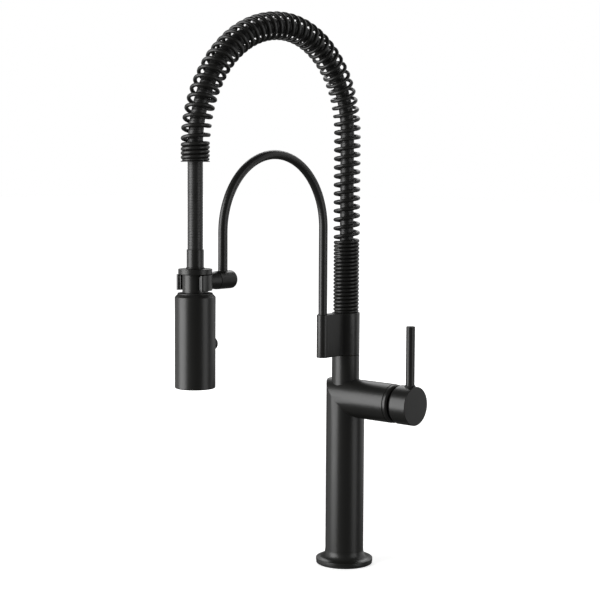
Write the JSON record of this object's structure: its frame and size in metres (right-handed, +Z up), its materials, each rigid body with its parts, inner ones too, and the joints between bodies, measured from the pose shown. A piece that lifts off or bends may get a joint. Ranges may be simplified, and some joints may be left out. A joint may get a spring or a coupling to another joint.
{
  "type": "pull-down kitchen faucet",
  "caption": "Matte black kitchen faucet with a coiled spring arch, a docking arm, a pull-down spray wand and a side pin lever.",
  "frame": {"origin": "centre of the base gasket's underside, where the column's axis meets the worktop's top face", "axes": "+Z up along the column, -Y along the spout's reach towards the sink, +X along the valve housing towards the lever"},
  "size_m": [0.1209, 0.2711, 0.6412],
  "materials": {
    "matte_black_metal": "matte black powder coat",
    "matte_black_spring": "matte black coated spring wire",
    "hose_rubber": "ribbed black hose cover",
    "black_rubber": "black seal rubber",
    "black_plastic": "matte black moulded plastic",
    "grey_plastic": "dark grey moulded plastic",
    "white_plastic": "natural acetal",
    "nozzle_silicone": "dark grey silicone",
    "ceramic": "lapped alumina ceramic",
    "brass": "machined brass",
    "copper": "drawn copper tube",
    "steel": "stainless steel"
  },
  "bodies": {
    "body": {"deck_gasket": "black_rubber", "base_flange": "matte_black_metal", "body_shell": "matte_black_metal", "mounting_shank": "brass", "mounting_seal": "black_rubber", "mounting_washer": "steel", "mounting_nut": "brass", "jack_screws": "steel", "hot_inlet_tube": "copper", "cold_inlet_tube": "copper", "waterway_block": "brass", "port_seals": "black_rubber", "outlet_tube": "brass", "outlet_o_rings": "black_rubber", "swivel_spigot": "brass", "glide_ring": "white_plastic", "snap_ring": "steel", "ceramic_cartridge": "white_plastic", "fixed_disc": "ceramic", "cartridge_nut": "brass", "bonnet_ring": "matte_black_metal"},
    "valve_spindle": {"moving_disc": "ceramic", "cartridge_spindle": "brass", "stem_pin": "steel"},
    "lever": {"lever_stem": "steel", "handle_hub": "matte_black_metal", "pin_washer": "black_rubber", "lever_pin": "matte_black_metal", "hub_grub_screw": "steel"},
    "spout": {"swivel_collar": "matte_black_metal", "arm_screw": "steel", "docking_arm": "matte_black_metal", "spring_seat": "matte_black_metal", "hose_coupling": "brass", "arch_hose": "hose_rubber", "exposed_hose": "hose_rubber", "spring": "matte_black_spring", "spring_end_ring": "matte_black_spring", "dock_cap": "matte_black_metal", "dock_screw": "steel", "dock_clip": "matte_black_metal", "clip_liner": "black_plastic"},
    "hose_end": {"hose_ferrule": "matte_black_metal", "ferrule_o_ring": "black_rubber"},
    "wand": {"wand_neck": "matte_black_metal", "check_valve": "white_plastic", "rim_washer": "black_plastic", "wand_shell": "matte_black_metal", "wand_core": "white_plastic", "spray_face": "black_plastic", "aerator": "grey_plastic", "spray_nozzles": "nozzle_silicone", "button_bezel": "black_plastic"},
    "button": {"spray_button": "black_plastic", "button_spring": "steel", "diverter": "white_plastic"}
  },
  "joints": [
    {"name": "spout_swivel", "type": "hinge", "parent": "body", "child": "spout", "pos_m": [0, 0, 0.2206], "axis": [0, 0, 1], "continuous": true},
    {"name": "temperature", "type": "hinge", "parent": "body", "child": "valve_spindle", "pos_m": [0.05, 0, 0.1755], "axis": [1, 0, 0], "range_deg": [-45, 45]},
    {"name": "flow", "type": "hinge", "parent": "valve_spindle", "child": "lever", "pos_m": [0.05, 0, 0.1755], "axis": [0, 1, 0], "range_deg": [0, 20]},
    {"name": "undock", "type": "slide", "parent": "spout", "child": "hose_end", "axis": [0, -1, 0], "range_m": [0, 0.035], "deforming": ["exposed_hose", "spring"]},
    {"name": "wand_spin", "type": "hinge", "parent": "hose_end", "child": "wand", "pos_m": [0, -0.2224, 0.3], "axis": [0, 0, 1], "continuous": true},
    {"name": "button_press", "type": "slide", "parent": "wand", "child": "button", "axis": [0, -1, 0], "range_m": [0, 0.002], "stiffness_N_per_m": 600, "deforming": ["button_spring"]}
  ]
}
